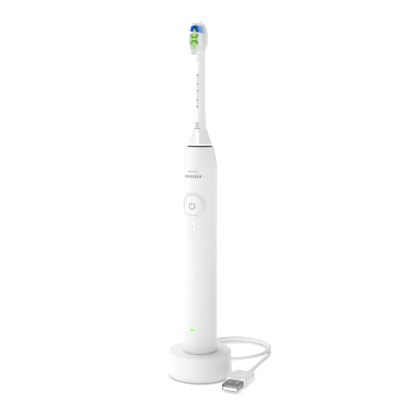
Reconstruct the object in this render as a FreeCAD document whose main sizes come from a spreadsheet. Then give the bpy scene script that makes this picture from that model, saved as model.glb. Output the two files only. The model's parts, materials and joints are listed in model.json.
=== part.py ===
import FreeCAD, Part
import math
import os
import re
import Sketcher

# Electric toothbrush standing on its charging puck, with the puck's USB lead.
# Millimetres. Origin: centre of the puck's underside, +Z up, the brush's front (button side) is -Y.

os.makedirs("parts", exist_ok=True)
doc = FreeCAD.newDocument("electric_toothbrush_on_charger")

# ---------------------------------------------------------------- driving dimensions
DIMENSIONS = {
    # charging puck
    "puck_radius": 24.5,
    "puck_top_radius": 24.05,
    "puck_top": 18.7,
    "puck_wall": 1.8,
    "puck_base": 0.6,
    "peg_radius": 3.9,
    "peg_top": 32.0,
    "plate_radius": 22.3,
    "plate_thickness": 1.6,
    "feet_radius": 3.0,
    "feet_ring": 16.0,
    "puck_board_radius": 18.5,
    "puck_board_bottom": 4.4,
    "board_thickness": 1.0,
    # lead and plug
    "cord_heading": 26.0,
    "cord_radius": 1.65,
    "gland_height": 5.6,
    "gland_radius": 2.5,
    "gland_end": 33.0,
    "plug_across": 37.79,
    "plug_back": 0.29,
    "plug_height": 4.1,
    "overmould_width": 15.8,
    "overmould_length": 18.0,
    "overmould_thickness": 8.2,
    "shell_width": 12.0,
    "shell_thickness": 4.5,
    "shell_reach": 11.9,
    "shell_root": 6.0,
    "shell_wall": 0.3,
    # handle casing
    "handle_bottom": 18.8,
    "handle_radius_low": 13.3,
    "handle_radius_high": 12.97,
    "handle_bore_low": 11.5,
    "handle_bore_high": 11.25,
    "shoulder_start": 153.5,
    "shoulder_radius": 67.0,
    "deck_edge_radius": 10.3,
    "deck_edge": 172.3,
    "deck_radius": 9.8,
    "deck_top": 172.9,
    "deck_bottom": 171.2,
    "boot_hole": 4.6,
    # front controls
    "button_height": 130.4,
    "button_radius": 7.25,
    "button_hole": 7.4,
    "button_face": 13.5,
    "button_thickness": 1.5,
    "bezel_radius": 9.25,
    "bezel_rise": 0.65,
    "mode_height": 112.9,
    "mode_width": 4.7,
    "mode_length": 12.6,
    "lamp_height": 37.3,
    "lamp_width": 3.2,
    "lamp_length": 1.4,
    "window_gap": 0.1,
    # inside the handle
    "recess_radius": 4.35,
    "recess_wall": 1.0,
    "recess_top": 33.0,
    "frame_radius": 10.9,
    "frame_bottom": 45.0,
    "frame_top": 156.0,
    "frame_front": 6.3,
    "cell_radius": 7.0,
    "cell_offset": 3.4,
    "cell_bottom": 48.5,
    "cell_length": 49.0,
    "board_width": 15.0,
    "board_bottom": 34.5,
    "board_length": 104.5,
    # motor
    "motor_radius": 5.6,
    "motor_wall": 0.6,
    "motor_bottom": 104.0,
    "motor_top": 150.0,
    "shaft_radius": 1.6,
    "shaft_bottom": 112.0,
    "shaft_top": 192.0,
    "shaft_flat": 1.1,
    "running_fit": 0.05,
    # brush head
    "head_base": 174.0,
    "head_base_radius": 9.35,
    "neck_start": 175.2,
    "neck_start_radius": 9.0,
    "plate_half_width": 6.3,
    "plate_half_depth": 2.6,
    "plate_centre_back": 1.5,
    "plate_face": -0.2,
    "tuft_tip": 9.8,
}

sheet = doc.addObject("Spreadsheet::Sheet", "Sizes")
for row, (alias, value) in enumerate(DIMENSIONS.items(), start=1):
    sheet.set(f"A{row}", alias)
    sheet.set(f"B{row}", str(value))
    sheet.setAlias(f"B{row}", alias)
doc.recompute()

UP = FreeCAD.Rotation()
FRONT = FreeCAD.Rotation(FreeCAD.Vector(1, 0, 0), 90)
EVERY_NODE = []


def cells(rule):
    """A rule such as 'puck_top - 1' with each alias named as a cell of the sheet."""
    return re.sub(r"[a-z]\w*", r"Sizes.\g<0>", str(rule))


def amount(rule):
    """The number that a rule gives now."""
    return float(sheet.evalExpression(cells(rule)))


def bind(thing, **rules):
    for property_name, rule in rules.items():
        thing.setExpression(property_name, cells(rule))


def place(thing, x, y, z, turn=UP):
    thing.Placement = FreeCAD.Placement(FreeCAD.Vector(), turn)
    for axis, rule in zip("xyz", (x, y, z)):
        thing.setExpression(".Placement.Base." + axis, cells(rule))
    return thing


def node(name, thing):
    """Marks the finished object of one sub-part; its Label names the sub-part."""
    thing.Label = name
    EVERY_NODE.append(thing)
    return thing


# ---------------------------------------------------------------- solids
def cylinder(name, radius, height, x=0, y=0, z=0, turn=UP):
    solid = doc.addObject("Part::Cylinder", name)
    bind(solid, Radius=radius, Height=height)
    return place(solid, x, y, z, turn)


def cone(name, low_radius, high_radius, height, x=0, y=0, z=0, turn=UP):
    solid = doc.addObject("Part::Cone", name)
    bind(solid, Radius1=low_radius, Radius2=high_radius, Height=height)
    return place(solid, x, y, z, turn)


def block(name, width, depth, height, x, y, z):
    """A box centred on x, with its front face at y and its underside at z."""
    solid = doc.addObject("Part::Box", name)
    bind(solid, Length=width, Width=depth, Height=height)
    return place(solid, f"{x} - ({width}) / 2", y, z)


def cut(name, base, *tools):
    result = doc.addObject("Part::Cut", name)
    result.Base = base
    result.Tool = tools[0] if len(tools) == 1 else fuse(name + "_tools", *tools)
    return result


def fuse(name, *solids):
    result = doc.addObject("Part::MultiFuse", name)
    result.Shapes = list(solids)
    return result


def common(name, *solids):
    result = doc.addObject("Part::MultiCommon", name)
    result.Shapes = list(solids)
    return result


def group(name, *solids):
    result = doc.addObject("Part::Compound", name)
    result.Links = list(solids)
    return result


def ring(name, outer, inner, height, z, x=0, y=0):
    """A washer or a sleeve standing on Z."""
    wall = cylinder(name + "_outside", outer, height, x, y, z)
    bore = cylinder(name + "_bore", inner, f"{height} + 2", x, y, f"({z}) - 1")
    return cut(name, wall, bore)


def front_cylinder(name, radius, near, far, height):
    """A cylinder on a front-facing axis, from near to far in front of the handle's axis."""
    return cylinder(name, radius, f"({far}) - ({near})", 0, f"-({near})", height, FRONT)


def pill(name, width, length, near, far, height):
    """A front-facing prism with round ends, standing upright, centred at that height."""
    reach = f"(({length}) - ({width})) / 2"
    middle = block(name + "_middle", width, f"({far}) - ({near})", f"({length}) - ({width})", 0, f"-({far})",
                   f"{height} - {reach}")
    low = front_cylinder(name + "_low", f"({width}) / 2", near, far, f"{height} - {reach}")
    high = front_cylinder(name + "_high", f"({width}) / 2", near, far, f"{height} + {reach}")
    return fuse(name, middle, low, high)


def rounded(name, base, radius, picker):
    """The base with the picked edges rounded."""
    doc.recompute()
    result = doc.addObject("Part::Fillet", name)
    result.Base = base
    size = amount(radius)
    result.Edges = [(i, size, size) for i, edge in enumerate(base.Shape.Edges, start=1) if picker(edge)]
    return result


def along(edge, axis):
    """Whether a straight edge runs along that axis."""
    ends = [vertex.Point for vertex in edge.Vertexes]
    if len(ends) != 2 or not isinstance(edge.Curve, Part.Line):
        return False
    way = (ends[1] - ends[0]).normalize()
    return abs(way.dot(axis)) > 0.999


def turned(name, outline, arcs=None):
    """A body turned about Z. The outline runs anticlockwise as (radius, height) rules.
    arcs maps the index of an edge to the radius rule of an outward-bulging arc in its place."""
    arcs = arcs or {}
    body = doc.addObject("PartDesign::Body", name)
    sketch = body.newObject("Sketcher::SketchObject", name + "_outline")
    plane = next(f for f in body.Origin.OriginFeatures if f.Role == "XZ_Plane")
    sketch.AttachmentSupport = [(plane, "")]
    sketch.MapMode = "FlatFace"
    corners = [FreeCAD.Vector(amount(across), amount(up), 0) for across, up in outline]
    count = len(corners)
    for index, start in enumerate(corners):
        end = corners[(index + 1) % count]
        if index in arcs:
            sketch.addGeometry(bulge(start, end, amount(arcs[index])), False)
        else:
            sketch.addGeometry(Part.LineSegment(start, end), False)
    for index in range(count):
        sketch.addConstraint(Sketcher.Constraint("Coincident", index, 2, (index + 1) % count, 1))
    for index, rules in enumerate(outline):
        for kind, rule, axis in (("DistanceX", rules[0], -2), ("DistanceY", rules[1], -1)):
            if rule == 0:
                sketch.addConstraint(Sketcher.Constraint("PointOnObject", index, 1, axis))
                continue
            pinned = sketch.addConstraint(Sketcher.Constraint(kind, -1, 1, index, 1, amount(rule)))
            sketch.setExpression(f"Constraints[{pinned}]", cells(rule))
    for index, rule in arcs.items():
        pinned = sketch.addConstraint(Sketcher.Constraint("Radius", index, amount(rule)))
        sketch.setExpression(f"Constraints[{pinned}]", cells(rule))
    revolution = body.newObject("PartDesign::Revolution", name + "_turned")
    revolution.Profile = sketch
    revolution.ReferenceAxis = (sketch, ["V_Axis"])
    revolution.Angle = 360
    return body


def bulge(start, end, radius):
    """The anticlockwise arc from start to end that bulges to the right of the way from one to the other."""
    half = (end - start) * 0.5
    left = FreeCAD.Vector(-half.y, half.x, 0).normalize()
    centre = start + half + left * math.sqrt(radius ** 2 - half.Length ** 2)
    first = math.atan2(start.y - centre.y, start.x - centre.x)
    last = math.atan2(end.y - centre.y, end.x - centre.x)
    return Part.ArcOfCircle(Part.Circle(centre, FreeCAD.Vector(0, 0, 1), radius), first, last)


# ---------------------------------------------------------------- charging puck
def charging_puck():
    inner_top = "puck_top - puck_wall"
    puck = turned("puck_shell", [
        ("plate_radius + 0.1", "puck_base"),
        ("puck_radius - 0.4", "puck_base"),
        ("puck_radius", "puck_base + 0.4"),
        ("puck_top_radius", "puck_top - 0.8"),
        ("puck_top_radius - 0.8", "puck_top"),
        ("peg_radius", "puck_top"),
        ("peg_radius", "peg_top - 0.6"),
        ("peg_radius - 0.6", "peg_top"),
        (0, "peg_top"),
        (0, "peg_top - 1.4"),
        ("peg_radius - 1", "peg_top - 1.4"),
        ("peg_radius - 1", inner_top),
        ("plate_radius + 0.1", inner_top),
    ], arcs={3: "0.82"})
    gland_hole = doc.addObject("Part::Cylinder", "gland_hole")
    bind(gland_hole, Radius="gland_radius + running_fit", Height="puck_radius - plate_radius + 4")
    gland_hole.Placement = out_of_the_gland(20, "gland_height")
    node("charger_housing", cut("charger_housing", puck, gland_hole))

    plate = cylinder("plate_disc", "plate_radius", "plate_thickness", 0, 0, "puck_base + 0.2")
    sockets = []
    feet = []
    posts = []
    for index in range(4):
        angle = math.radians(45 + 90 * index)
        x = f"feet_ring * {math.cos(angle):.6f}"
        y = f"feet_ring * {math.sin(angle):.6f}"
        sockets.append(cylinder(f"foot_socket_{index}", "feet_radius + running_fit", "1", x, y, "puck_base"))
        feet.append(cylinder(f"foot_{index}", "feet_radius", "puck_base + 1", x, y, 0))
        post_length = "puck_board_bottom - puck_base - plate_thickness - 0.2"
        posts.append(cylinder(f"board_post_{index}", "1.4", post_length,
                              f"({x}) * 0.86", f"({y}) * 0.86", "puck_base + 0.2 + plate_thickness"))
    bored = cut("plate_bored", plate, *sockets)
    node("charger_base_plate", fuse("charger_base_plate", bored, *posts))
    node("charger_feet", group("charger_feet", *feet))

    board = ring("charger_circuit_board", "puck_board_radius", "4", "board_thickness", "puck_board_bottom")
    node("charger_circuit_board", board)
    board_top = "puck_board_bottom + board_thickness"
    node("charger_capacitors", group(
        "charger_capacitors",
        cylinder("puck_capacitor_left", "1.9", "6.5", -15.5, 2, board_top),
        cylinder("puck_capacitor_right", "1.9", "6.5", 15.5, 2, board_top),
    ))
    node("charger_control_chip", block("charger_control_chip", "5", "4", "1.2", 0, -12, board_top))

    node("primary_bobbin", turned("primary_bobbin", [
        ("2.8", "8"), ("12.4", "8"), ("12.4", "9"), ("4.4", "9"), ("4.4", "15.6"), ("12.4", "15.6"),
        ("12.4", "16.6"), ("2.8", "16.6"),
    ]))
    node("primary_coil", ring("primary_coil", "11.8", "4.5", "6.4", "9.1"))
    node("primary_core", cylinder("primary_core", "peg_radius - 1.2", "peg_top - 10", 0, 0, "8"))


def out_of_the_gland(distance, height):
    """Placement that turns a solid's own +Z to the cord's heading, that far from the puck's centre."""
    heading = amount("cord_heading")
    towards_back = FreeCAD.Rotation(FreeCAD.Vector(1, 0, 0), -90)
    turn = FreeCAD.Rotation(FreeCAD.Vector(0, 0, 1), heading) * towards_back
    away = FreeCAD.Vector(-math.sin(math.radians(heading)), math.cos(math.radians(heading)), 0)
    return FreeCAD.Placement(away * distance + FreeCAD.Vector(0, 0, amount(height)), turn)


# ---------------------------------------------------------------- USB lead
# The lead's route: to the right of its heading out of the puck, away along it, and up, in millimetres.
# It makes one oval turn, passes under itself at the right and ends in the plug.
ROUTE = [
    (0.0, 33.0, 5.6), (0.0, 44.0, 5.6), (6.0, 61.5, 5.5), (21.0, 74.0, 5.35), (41.0, 74.0, 5.35),
    (54.5, 61.5, 5.35), (59.0, 46.0, 5.6), (50.0, 32.0, 3.8), (31.0, 27.8, 1.65), (12.0, 32.0, 1.65),
    (3.5, 46.5, 1.65), (6.5, 62.5, 1.65), (20.8, 73.7, 1.65), (41.2, 73.8, 1.65), (54.6, 61.3, 1.65),
    (58.6, 43.0, 1.65), (50.2, 25.6, 1.65), (42.4, 6.5, 2.0), (38.1, -8.1, 4.1), (34.1, -16.3, 4.1),
]
ARC_SHARE = 0.45


def cord_tube():
    """Straight runs joined by tangent arcs, each as large as its two runs allow."""
    points = [FreeCAD.Vector(*point) for point in ROUTE]
    edges = []
    radii = []
    leaves = points[0]
    for before, corner, after in zip(points, points[1:], points[2:]):
        incoming = (corner - before).normalize()
        outgoing = (after - corner).normalize()
        turn = incoming.getAngle(outgoing)
        trim = ARC_SHARE * min((corner - before).Length, (after - corner).Length)
        radius = trim / math.tan(turn / 2)
        enters = corner - incoming * trim
        exits = corner + outgoing * trim
        inward = (outgoing - incoming).normalize()
        top = corner + inward * (trim / math.sin(turn / 2) - radius)
        edges.append(Part.LineSegment(leaves, enters).toShape())
        edges.append(Part.Arc(enters, top, exits).toShape())
        leaves = exits
        radii.append(radius)
    edges.append(Part.LineSegment(leaves, points[-1]).toShape())
    path = Part.Wire(edges)
    start = (points[1] - points[0]).normalize()
    section = Part.Wire([Part.Circle(points[0], start, amount("cord_radius")).toShape()])
    tube = path.makePipeShell([section], True, True)
    return path, radii, tube


def usb_lead():
    relief = turned("relief_turned", [
        (0, "20.8"), ("3.1", "20.8"), ("3.1", "22"), ("gland_radius", "22"), ("gland_radius", "24.5"),
        ("3.3", "24.5"), ("3.3", "25.7"), ("2.7", "26.1"),
        ("2.7", "27.2"), ("2.95", "27.4"), ("2.85", "28.6"),
        ("2.45", "28.8"), ("2.4", "29.8"), ("2.65", "30"), ("2.5", "31.2"), ("2.15", "31.4"),
        ("cord_radius + 0.4", "gland_end"), (0, "gland_end"),
    ])
    relief.Placement = out_of_the_gland(0, "gland_height")
    node("cable_strain_relief", relief)

    path, radii, tube = cord_tube()
    cord = doc.addObject("Part::Feature", "power_cord")
    cord.Shape = tube
    cord.Placement = FreeCAD.Placement(FreeCAD.Vector(),
                                       FreeCAD.Rotation(FreeCAD.Vector(0, 0, 1), amount("cord_heading")))
    node("power_cord", cord)
    section_area = math.pi * amount("cord_radius") ** 2
    print("cord radii", [round(radius, 1) for radius in radii])
    print("cord length", round(path.Length, 1), "volume", round(tube.Volume, 1),
          "section x length", round(section_area * path.Length, 1))

    front = "plug_back - overmould_length"
    body = block("overmould_block", "overmould_width", "overmould_length", "overmould_thickness",
                 "plug_across", front, "plug_height - overmould_thickness / 2")
    back = amount("plug_back")
    sides = rounded("overmould_sides", body, "2.6", lambda edge: along(edge, FreeCAD.Vector(0, 1, 0)))
    soft = rounded("overmould_soft", sides, "1.6",
                   lambda edge: all(abs(vertex.Y - back) < 0.01 for vertex in edge.Vertexes))
    socket = block("shell_socket", "shell_width", "shell_root", "shell_thickness", "plug_across", front,
                   "plug_height - shell_thickness / 2")
    node("usb_overmould", cut("usb_overmould", soft, socket))

    mouth = f"{front} - shell_reach"
    length = "shell_reach + shell_root"
    outside = block("shell_outside", "shell_width", length, "shell_thickness", "plug_across", mouth,
                    "plug_height - shell_thickness / 2")
    hollow = block("shell_hollow", "shell_width - 2 * shell_wall", f"{length} + 2",
                   "shell_thickness - 2 * shell_wall", "plug_across", f"{mouth} - 1",
                   "plug_height - shell_thickness / 2 + shell_wall")
    windows = [
        block(f"shell_window_{side}", "2.3", "2.3", "10", f"plug_across + {offset}", f"{mouth} + 5.4",
              "plug_height - 5")
        for side, offset in (("left", -2.9), ("right", 2.9))
    ]
    soft_shell = rounded("shell_soft", outside, "0.6", lambda edge: along(edge, FreeCAD.Vector(0, 1, 0)))
    node("usb_shell", cut("usb_shell", soft_shell, hollow, *windows))
    tongue_bottom = "plug_height - shell_thickness / 2 + shell_wall"
    node("usb_tongue", block("usb_tongue", "shell_width - 2 * shell_wall - 0.2", f"{length} - 0.6", "1.9",
                             "plug_across", f"{mouth} + 0.6", tongue_bottom))
    node("usb_contacts", group("usb_contacts", *[
        block(f"usb_contact_{index}", "1.1", "7", "0.15", f"plug_across + {offset}", f"{mouth} + 2.6",
              f"{tongue_bottom} + 1.9")
        for index, offset in enumerate((-3.5, -1.0, 1.0, 3.5))
    ]))


# ---------------------------------------------------------------- handle
def handle_casing():
    shell = turned("handle_shell", [
        ("handle_bore_low", "handle_bottom"),
        ("handle_radius_low - 0.7", "handle_bottom"),
        ("handle_radius_low", "handle_bottom + 0.7"),
        ("handle_radius_high", "shoulder_start"),
        ("deck_edge_radius", "deck_edge"),
        ("deck_radius", "deck_top"),
        ("boot_hole", "deck_top"),
        ("boot_hole", "deck_bottom"),
        ("8.4", "deck_bottom"),
        ("10.3", "165"),
        ("handle_bore_high", "152"),
    ], arcs={1: "0.72", 3: "shoulder_radius", 4: "0.8"})
    button_hole = front_cylinder("button_hole", "button_hole", 6, 16, "button_height")
    bezel_seat = common("bezel_seat",
                        ring("bezel_seat_wall", "16", "handle_radius_high - 0.6", "30",
                             "button_height - 15"),
                        front_cylinder("bezel_seat_face", "bezel_radius", 6, 16, "button_height"))
    mode_hole = pill("mode_hole", "mode_width + 2 * window_gap", "mode_length + 2 * window_gap", 6, 16,
                     "mode_height")
    lamp_hole = block("lamp_hole", "lamp_width + 2 * window_gap", 10, "lamp_length + 2 * window_gap", 0, -16,
                      "lamp_height - lamp_length / 2 - window_gap")
    node("handle_housing", cut("handle_housing", shell, button_hole, bezel_seat, mode_hole, lamp_hole))

    bezel_wall = ring("bezel_wall", "handle_radius_high + bezel_rise",
                      "handle_radius_high - 0.6 + running_fit", "30", "button_height - 15")
    bezel_face = cut("bezel_face",
                     cone("bezel_cone", "bezel_radius - running_fit", "bezel_radius - 0.7", "8", 0, -7,
                          "button_height", FRONT),
                     front_cylinder("bezel_bore", "button_hole", 6, 16, "button_height"))
    node("button_bezel", common("button_bezel", bezel_wall, bezel_face))

    cap_face = "button_face"
    cap_wall = ring("cap_wall", cap_face, f"{cap_face} - button_thickness", "30", "button_height - 15")
    cap = common("cap_curved", cap_wall,
                 front_cylinder("cap_round", "button_radius", 6, 16, "button_height"))
    stem = front_cylinder("cap_stem", "1.8", "10", "12.2", "button_height")
    node("power_button", fuse("power_button", cap, stem))

    window_wall = ring("window_wall", "handle_radius_high + 0.03", "handle_radius_high - 1.5", "20",
                       "mode_height - 10")
    node("mode_window", common("mode_window", window_wall,
                               pill("mode_window_face", "mode_width", "mode_length", 6, 16, "mode_height")))
    lamp_outside = cylinder("lamp_outside", "handle_radius_low - 0.04", "10", 0, 0, "lamp_height - 5")
    lamp_pipe = block("lamp_pipe", "lamp_width", "5.2", "lamp_length", 0, "-13.8",
                      "lamp_height - lamp_length / 2")
    node("battery_light_window", common("battery_light_window", lamp_outside, lamp_pipe))

    bottom_gap = "handle_bottom + 0.2"
    node("handle_end_cap", turned("handle_end_cap", [
        ("recess_radius", bottom_gap),
        ("handle_bore_low - 0.1", bottom_gap),
        ("handle_bore_low - 0.1", "23"),
        ("handle_bore_low - 1.3", "23"),
        ("handle_bore_low - 1.3", "24.6"),
        ("handle_bore_low - 0.1", "24.6"),
        ("handle_bore_low - 0.1", "26"),
        ("recess_radius + recess_wall", "26"),
        ("recess_radius + recess_wall", "recess_top + recess_wall"),
        (0, "recess_top + recess_wall"),
        (0, "recess_top"),
        ("recess_radius", "recess_top"),
    ]))
    node("end_cap_seal", ring("end_cap_seal", "handle_bore_low - 0.04", "handle_bore_low - 1.25", "1.5",
                              "23.05"))


def handle_inside():
    node("secondary_bobbin", turned("secondary_bobbin", [
        ("5.4", "26.2"), ("9.9", "26.2"), ("9.9", "26.9"), ("6.2", "26.9"), ("6.2", "32.4"), ("9.9", "32.4"),
        ("9.9", "33.1"), ("5.4", "33.1"),
    ]))
    node("secondary_coil", ring("secondary_coil", "9.4", "6.3", "5.3", "27"))
    node("secondary_core", cylinder("secondary_core", "3", "3", 0, 0, "recess_top + recess_wall + 0.1"))

    drum = cylinder("frame_drum", "frame_radius", "frame_top - frame_bottom", 0, 0, "frame_bottom")
    front_cut = block("frame_front_cut", 40, 20, 140, 0, "-20 - frame_front", "frame_bottom - 5")
    cell_bay = cylinder("cell_bay", "cell_radius + 0.15", "cell_length + 2.4", 0, "cell_offset",
                        "cell_bottom - 1.2")
    cell_way = block("cell_way", "2 * cell_radius + 0.3", 20, "cell_length + 2.4", 0, "cell_offset",
                     "cell_bottom - 1.2")
    motor_bay = cylinder("motor_bay", "motor_radius + 0.1", "motor_top - motor_bottom + 3.2", 0, 0,
                         "motor_bottom - 1.6")
    motor_way = block("motor_way", "2 * motor_radius + 0.2", 20, "motor_top - motor_bottom + 3.2", 0, 0,
                      "motor_bottom - 1.6")
    shaft_way = cylinder("shaft_way", "2.6", 20, 0, 0, "motor_top - 5")
    stem_way = front_cylinder("switch_way", "5.2", "5.9", "8", "button_height")
    node("inner_frame", cut("inner_frame", drum, front_cut, cell_bay, cell_way, motor_bay, motor_way,
                            shaft_way, stem_way))

    can = cylinder("cell_can", "cell_radius", "cell_length - 1.2", 0, "cell_offset", "cell_bottom")
    nub = cylinder("cell_nub", "2.6", "1.2", 0, "cell_offset", "cell_bottom + cell_length - 1.2")
    node("battery_cell", fuse("battery_cell", can, nub))
    node("battery_tabs", group(
        "battery_tabs",
        block("tab_low", "5", "9", "0.3", 0, "cell_offset - 4", "cell_bottom - 0.4"),
        block("tab_high", "5", "9", "0.3", 0, "cell_offset - 4", "cell_bottom + cell_length + 0.1"),
    ))

    board_front = "frame_front + board_thickness"
    node("main_circuit_board", block("main_circuit_board", "board_width", "board_thickness", "board_length",
                                     0, f"-({board_front})", "board_bottom"))
    node("control_chip", block("control_chip", "6", "1", "6", -1, f"-({board_front}) - 1", "88"))
    node("board_capacitors", group("board_capacitors", *[
        block(f"board_capacitor_{index}", "1.2", "0.9", "2", f"{across}", f"-({board_front}) - 0.9", f"{up}")
        for index, (across, up) in enumerate(((-5, 78), (-2, 78), (4.5, 84), (4.5, 90), (-5, 98), (1, 98)))
    ]))
    switch_case = block("switch_case", "6", "1.6", "6", 0, f"-({board_front}) - 1.6", "button_height - 3")
    plunger_way = front_cylinder("plunger_way", "1.5", f"{board_front} + 0.3", "12", "button_height")
    node("tact_switch_body", cut("tact_switch_body", switch_case, plunger_way))
    node("switch_plunger", front_cylinder("switch_plunger", "1.4", f"{board_front} + 1", "9.95",
                                          "button_height"))
    node("mode_leds", group("mode_leds", *[
        block(f"mode_led_{index}", "1.6", "0.9", "1", 0, f"-({board_front}) - 0.9", f"mode_height + {step}")
        for index, step in enumerate((-3.5, 2.5))
    ]))
    node("battery_led", block("battery_led", "1.6", "0.9", "1", 0, f"-({board_front}) - 0.9",
                              "lamp_height - 0.5"))
    seal_disc = front_cylinder("seal_disc", "button_hole + 1.4", "9.2", "9.8", "button_height")
    seal_limit = cylinder("seal_limit", "handle_bore_low - 0.6", "30", 0, 0, "button_height - 15")
    seal_hole = front_cylinder("seal_hole", "2.0", "8", "12", "button_height")
    node("button_seal", cut("button_seal", common("seal_trimmed", seal_disc, seal_limit), seal_hole))


def drive_unit():
    height = "motor_top - motor_bottom"
    node("motor_can", ring("motor_can", "motor_radius", "motor_radius - motor_wall", height, "motor_bottom"))
    inner = "motor_radius - motor_wall"
    for name, z in (("lower_bearing", "motor_bottom + 9.5"), ("upper_bearing", "motor_top - 4")):
        node(name, ring(name, inner, "shaft_radius + running_fit", "4", z))
    node("stator_core", ring("stator_core", inner, "4.1", "8", "motor_bottom + 23"))
    coils = [ring(f"stator_coil_{index}", inner, "4.2", "6.5", z)
             for index, z in enumerate(("motor_bottom + 16", "motor_bottom + 31.5"))]
    node("stator_coils", group("stator_coils", *coils))
    for name, z in (("lower_damper", "motor_bottom - 1.5"), ("upper_damper", "motor_top")):
        node(name, ring(name, "motor_radius", "2.6", "1.5", z))
    node("torsion_bar", turned("torsion_bar", [
        (0, "motor_bottom"), (inner, "motor_bottom"),
        (inner, "motor_bottom + 1.5"), ("0.7", "motor_bottom + 1.5"),
        ("0.7", "shaft_bottom - 0.05"), (0, "shaft_bottom - 0.05"),
    ]))

    rod = cylinder("shaft_rod", "shaft_radius", "shaft_top - shaft_bottom", 0, 0, "shaft_bottom")
    flat = block("shaft_flat_cut", 6, 4, 14, 0, "shaft_flat", "shaft_top - 12")
    node("drive_shaft", cut("drive_shaft", rod, flat))
    node("rotor_yoke", ring("rotor_yoke", "2.5", "shaft_radius", "22", "motor_bottom + 16"))
    magnets = ring("magnet_sleeve", "3.7", "2.5", "8", "motor_bottom + 23")
    slots = [block("magnet_slot_x", 12, 0.6, 10, 0, -0.3, "motor_bottom + 22"),
             block("magnet_slot_y", 0.6, 12, 10, 0, -6, "motor_bottom + 22")]
    node("rotor_magnets", cut("rotor_magnets", magnets, *slots))

    node("shaft_seal", turned("shaft_seal", [
        ("shaft_radius + 0.1", "deck_bottom"),
        ("boot_hole - 0.05", "deck_bottom"),
        ("boot_hole - 0.05", "deck_top + 0.02"),
        ("deck_radius - 0.6", "deck_top + 0.02"),
        ("deck_radius - 0.6", "deck_top + 0.8"),
        ("shaft_radius + 0.1", "deck_top + 0.8"),
    ]))


# ---------------------------------------------------------------- brush head
# Sections of the neck and head: height, half width, half depth, and how far the middle lies back.
NECK_SECTIONS = [
    ("neck_start", "neck_start_radius", "neck_start_radius", 0),
    (176.7, 8.4, 8.4, 0), (178.9, 7.5, 7.5, 0), (181.8, 6.45, 6.45, 0), (184.8, 5.6, 5.6, 0),
    (187.7, 5.02, 5.02, 0), (190.6, 4.7, 4.7, 0), (194, 4.52, 4.52, 0), (200, 4.45, 4.45, 0),
    (208, 4.3, 4.3, 0), (217, 4, 4, 0.1), (224, 3.8, 3.8, 0.2), (231, 3.75, 3.7, 0.3),
    (236.5, 3.8, 3.4, 0.6), (240, 3.85, 2.95, 1), (243, 4.75, "plate_half_depth + 0.1", 1.3),
    (246, "plate_half_width - 0.55", "plate_half_depth", "plate_centre_back"),
    (248.5, "plate_half_width - 0.1", "plate_half_depth", "plate_centre_back"),
    (251, "plate_half_width", "plate_half_depth", "plate_centre_back"),
    (254, "plate_half_width - 0.25", "plate_half_depth", "plate_centre_back"),
    (256.5, "plate_half_width - 0.75", "plate_half_depth", "plate_centre_back"),
    (258.8, "plate_half_width - 1.5", "plate_half_depth - 0.1", "plate_centre_back"),
    (260.8, "plate_half_width - 2.4", "plate_half_depth - 0.3", "plate_centre_back"),
    (262.6, "plate_half_width - 3.65", "plate_half_depth - 0.8", "plate_centre_back - 0.1"),
    (263.8, 1.5, 1.2, "plate_centre_back - 0.3"), (264.3, 0.7, 0.6, "plate_centre_back - 0.4"),
]


def brush_head():
    rings = []
    for index, (height, half_width, half_depth, back) in enumerate(NECK_SECTIONS):
        section = doc.addObject("Part::Ellipse", f"neck_section_{index}")
        bind(section, MajorRadius=half_width, MinorRadius=half_depth)
        rings.append(place(section, 0, back, height))
    loft = doc.addObject("Part::Loft", "neck_loft")
    loft.Sections = rings
    loft.Solid = True
    loft.Ruled = False
    flat_front = block("head_front_cut", 30, 20, 26, 0, "plate_face - 20", 238)
    cavity = cone("neck_cavity", "7", "3.5", "7", 0, 0, "neck_start - 0.01")
    bore = cylinder("neck_bore", "3.5", "19", 0, 0, "neck_start - 0.01")
    node("brush_neck", cut("brush_neck", loft, flat_front, cavity, bore))

    node("neck_base_ring", turned("neck_base_ring", [
        ("7.05", "head_base"), ("head_base_radius - 0.3", "head_base"),
        ("head_base_radius", "head_base + 0.4"),
        ("neck_start_radius + 0.1", "neck_start"), ("7.05", "neck_start"),
    ]))
    sleeve = ring("insert_sleeve", "3.45", "shaft_radius + running_fit", "17.5", "neck_start + 1")
    key = common("insert_key_trimmed",
                 block("insert_key", 4, 3, 10.5, 0, "shaft_flat + running_fit", "shaft_top - 10.9"),
                 cylinder("insert_limit", "3.3", "17.5", 0, 0, "neck_start + 1"))
    node("coupling_insert", fuse("coupling_insert", sleeve, key))
    bristles()


def bristle_field(name, corners, tip, mirrored=False):
    """Bristles packed with straight sides, from the plate's face out to the tip.
    The corners are (across, height) seen from the front."""
    way = -1 if mirrored else 1
    outline = doc.addObject("Part::Polygon", name + "_outline")
    outline.Nodes = [FreeCAD.Vector(way * across, 0, up) for across, up in corners]
    outline.Close = True
    field = doc.addObject("Part::Extrusion", name)
    field.Base = place(outline, 0, "plate_face", 0)
    field.DirMode = "Custom"
    field.Dir = FreeCAD.Vector(0, -1, 0)
    field.Solid = True
    bind(field, LengthFwd=f"{tip} + plate_face")
    return field


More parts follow.
